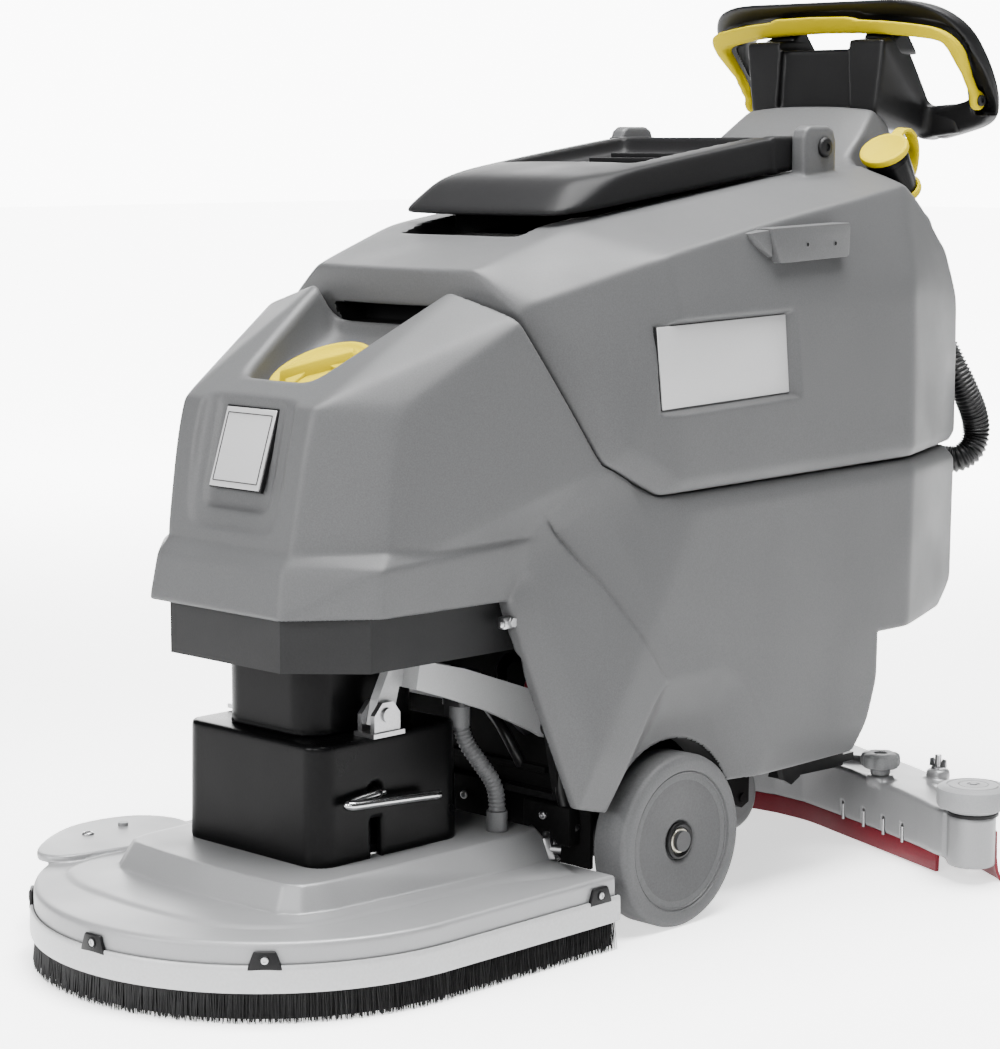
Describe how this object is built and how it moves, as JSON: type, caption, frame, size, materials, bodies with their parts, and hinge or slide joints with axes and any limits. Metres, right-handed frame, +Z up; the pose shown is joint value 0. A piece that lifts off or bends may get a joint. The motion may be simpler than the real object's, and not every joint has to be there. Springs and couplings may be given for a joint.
{
  "type": "floor scrubber machine",
  "caption": "Walk-behind floor scrubber with a disc pad deck, drive wheels, a tilting dirty water tank with hinged lid, a loop handle and a V-shaped squeegee.",
  "frame": {"origin": "on the floor under the middle of the machine's length and width", "axes": "+Z up, -Y towards the front of the machine, +X towards its left side"},
  "size_m": [0.852, 1.345, 1.066],
  "materials": {
    "grey_body": "moulded, fine grain",
    "dark_band": "moulded, matt",
    "black_plastic": "moulded, satin",
    "black_steel": "powder coated black",
    "yellow_plastic": "moulded, satin",
    "silver_cast": "silver painted aluminium casting",
    "band_grey": "smooth strip",
    "bristle": "nylon bristles",
    "wheel_grey": "solid moulded tyre and rim",
    "roller_grey": "non marking",
    "steel": "zinc plated",
    "arm_grey": "light grey painted sheet",
    "plate": "plain satin plate",
    "red_rubber": "polyurethane strip",
    "battery_case": "moulded case",
    "motor_metal": "painted housing",
    "hose_black": "corrugated",
    "hose_grey": "ribbed",
    "driver": "moulded disc",
    "pad_fibre": "non woven fibre"
  },
  "bodies": {
    "chassis": {"lower_shell": "grey_body", "front_band": "dark_band", "chassis_frame": "black_steel", "batteries": "battery_case", "transaxle": "motor_metal", "filler_neck": "black_plastic", "nose_plate": "plate", "tank_hinge_pin": "steel", "suction_hose": "hose_grey"},
    "tank": {"upper_tank": "grey_body", "console_housing": "black_plastic", "handle_rim": "black_plastic", "side_plates": "plate", "lid_bolts": "black_plastic", "vacuum_turbine": "motor_metal", "control_panel": "black_plastic", "console_screws": "steel", "hose_end": "black_plastic", "drain_hose": "hose_black", "drain_strap": "yellow_plastic"},
    "lid": {"lid": "black_plastic"},
    "drive_bar": {"drive_bar": "yellow_plastic"},
    "drain_cap": {"drain_cap": "yellow_plastic"},
    "filler_cap": {"filler_cap": "yellow_plastic"},
    "key_switch": {"key_switch": "steel"},
    "water_dial": {"water_dial": "black_plastic"},
    "start_button": {"start_button": "yellow_plastic"},
    "left_wheel": {"left_wheel": "wheel_grey", "left_hub": "steel"},
    "right_wheel": {"right_wheel": "wheel_grey", "right_hub": "steel"},
    "caster_fork": {"caster_fork": "black_steel"},
    "caster_wheel": {"caster_wheel": "roller_grey"},
    "lift_arm": {"lift_arm": "arm_grey"},
    "deck": {"deck_plate": "silver_cast", "skirt_band": "band_grey", "skirt_bristles": "bristle", "skirt_clips": "black_plastic", "motor_box": "black_plastic", "motor_housing": "black_plastic", "brush_motor": "motor_metal", "clevis_bracket": "steel", "water_valve": "motor_metal", "rinse_hose": "hose_grey"},
    "pad": {"pad_driver": "driver", "scrub_pad": "pad_fibre"},
    "release_lever": {"release_lever": "steel"},
    "deck_roller": {"deck_roller": "roller_grey"},
    "squeegee_arm": {"squeegee_arm": "black_steel"},
    "squeegee": {"squeegee_body": "silver_cast", "front_blade": "red_rubber", "rear_blade": "red_rubber", "blade_strap": "steel", "suction_nozzle": "black_plastic"},
    "left_roller": {"left_roller": "roller_grey"},
    "right_roller": {"right_roller": "roller_grey"},
    "left_knob": {"left_knob": "roller_grey"},
    "right_knob": {"right_knob": "roller_grey"}
  },
  "joints": [
    {"name": "tank_tilt", "type": "hinge", "parent": "chassis", "child": "tank", "pos_m": [0, 0.5635, 0.5], "axis": [-1, 0, 0], "range_deg": [0, 40]},
    {"name": "lid_hinge", "type": "hinge", "parent": "tank", "child": "lid", "pos_m": [0, 0.3495, 0.88], "axis": [-1, 0, 0], "range_deg": [0, 80]},
    {"name": "drive_bar_squeeze", "type": "hinge", "parent": "tank", "child": "drive_bar", "pos_m": [0, 0.6305, 0.939], "axis": [-1, 0, 0], "range_deg": [0, 4], "stiffness_Nm_per_rad": 25},
    {"name": "drain_cap_flip", "type": "hinge", "parent": "tank", "child": "drain_cap", "pos_m": [0.16548, 0.49991, 0.8834], "axis": [-0.9945, -0.0628, 0.0836], "range_deg": [0, 100]},
    {"name": "filler_cap_turn", "type": "hinge", "parent": "chassis", "child": "filler_cap", "pos_m": [0, -0.3325, 0.64], "axis": [0, -0.4305, 0.9026], "range_deg": [0, 90]},
    {"name": "key_turn", "type": "hinge", "parent": "tank", "child": "key_switch", "pos_m": [-0.062, 0.6345, 0.96], "axis": [0, 0.8746, 0.4848], "range_deg": [0, 90]},
    {"name": "water_dial_turn", "type": "hinge", "parent": "tank", "child": "water_dial", "pos_m": [0, 0.6345, 0.96], "axis": [0, 0.8746, 0.4848], "range_deg": [-135, 135]},
    {"name": "start_button_press", "type": "slide", "parent": "tank", "child": "start_button", "axis": [0, -0.8746, -0.4848], "range_m": [0, 0.003], "stiffness_N_per_m": 600},
    {"name": "left_wheel_roll", "type": "hinge", "parent": "chassis", "child": "left_wheel", "pos_m": [0.237, -0.0215, 0.1], "axis": [1, 0, 0], "continuous": true},
    {"name": "right_wheel_roll", "type": "hinge", "parent": "chassis", "child": "right_wheel", "pos_m": [-0.237, -0.0215, 0.1], "axis": [1, 0, 0], "continuous": true},
    {"name": "caster_swivel", "type": "hinge", "parent": "chassis", "child": "caster_fork", "pos_m": [0, 0.3275, 0.13], "axis": [0, 0, 1], "continuous": true},
    {"name": "caster_roll", "type": "hinge", "parent": "caster_fork", "child": "caster_wheel", "pos_m": [0, 0.3675, 0.045], "axis": [1, 0, 0], "continuous": true},
    {"name": "deck_lift", "type": "hinge", "parent": "chassis", "child": "lift_arm", "pos_m": [0, -0.1125, 0.228], "axis": [-1, 0, 0], "range_deg": [0, 12]},
    {"name": "deck_level", "type": "hinge", "parent": "lift_arm", "child": "deck", "pos_m": [0, -0.3455, 0.273], "axis": [-1, 0, 0], "range_deg": [-12, 0]},
    {"name": "pad_spin", "type": "hinge", "parent": "deck", "child": "pad", "pos_m": [0, -0.4, 0.04], "axis": [0, 0, 1], "continuous": true},
    {"name": "release_lever_pull", "type": "hinge", "parent": "deck", "child": "release_lever", "pos_m": [0.115, -0.3595, 0.19], "axis": [1, 0, 0], "range_deg": [0, 25], "stiffness_Nm_per_rad": 2},
    {"name": "deck_roller_spin", "type": "hinge", "parent": "deck", "child": "deck_roller", "pos_m": [-0.272, -0.4045, 0.074], "axis": [0, 0, 1], "continuous": true},
    {"name": "squeegee_lift", "type": "hinge", "parent": "chassis", "child": "squeegee_arm", "pos_m": [0, 0.3125, 0.108], "axis": [1, 0, 0], "range_deg": [0, 15], "deforming": ["suction_hose"]},
    {"name": "squeegee_swing", "type": "hinge", "parent": "squeegee_arm", "child": "squeegee", "pos_m": [0, 0.5195, 0.105], "axis": [0, 0, 1], "range_deg": [-10, 10]},
    {"name": "left_roller_spin", "type": "hinge", "parent": "squeegee", "child": "left_roller", "pos_m": [0.382, 0.3735, 0.1], "axis": [0, 0, 1], "continuous": true},
    {"name": "right_roller_spin", "type": "hinge", "parent": "squeegee", "child": "right_roller", "pos_m": [-0.382, 0.3735, 0.1], "axis": [0, 0, 1], "continuous": true},
    {"name": "left_knob_turn", "type": "hinge", "parent": "squeegee", "child": "left_knob", "pos_m": [0.206, 0.4235, 0.1], "axis": [0, 0, 1], "continuous": true},
    {"name": "right_knob_turn", "type": "hinge", "parent": "squeegee", "child": "right_knob", "pos_m": [-0.206, 0.4235, 0.1], "axis": [0, 0, 1], "continuous": true}
  ],
  "couplings": [
    {"joint": "deck_level", "follows": "deck_lift", "ratio": -1}
  ]
}
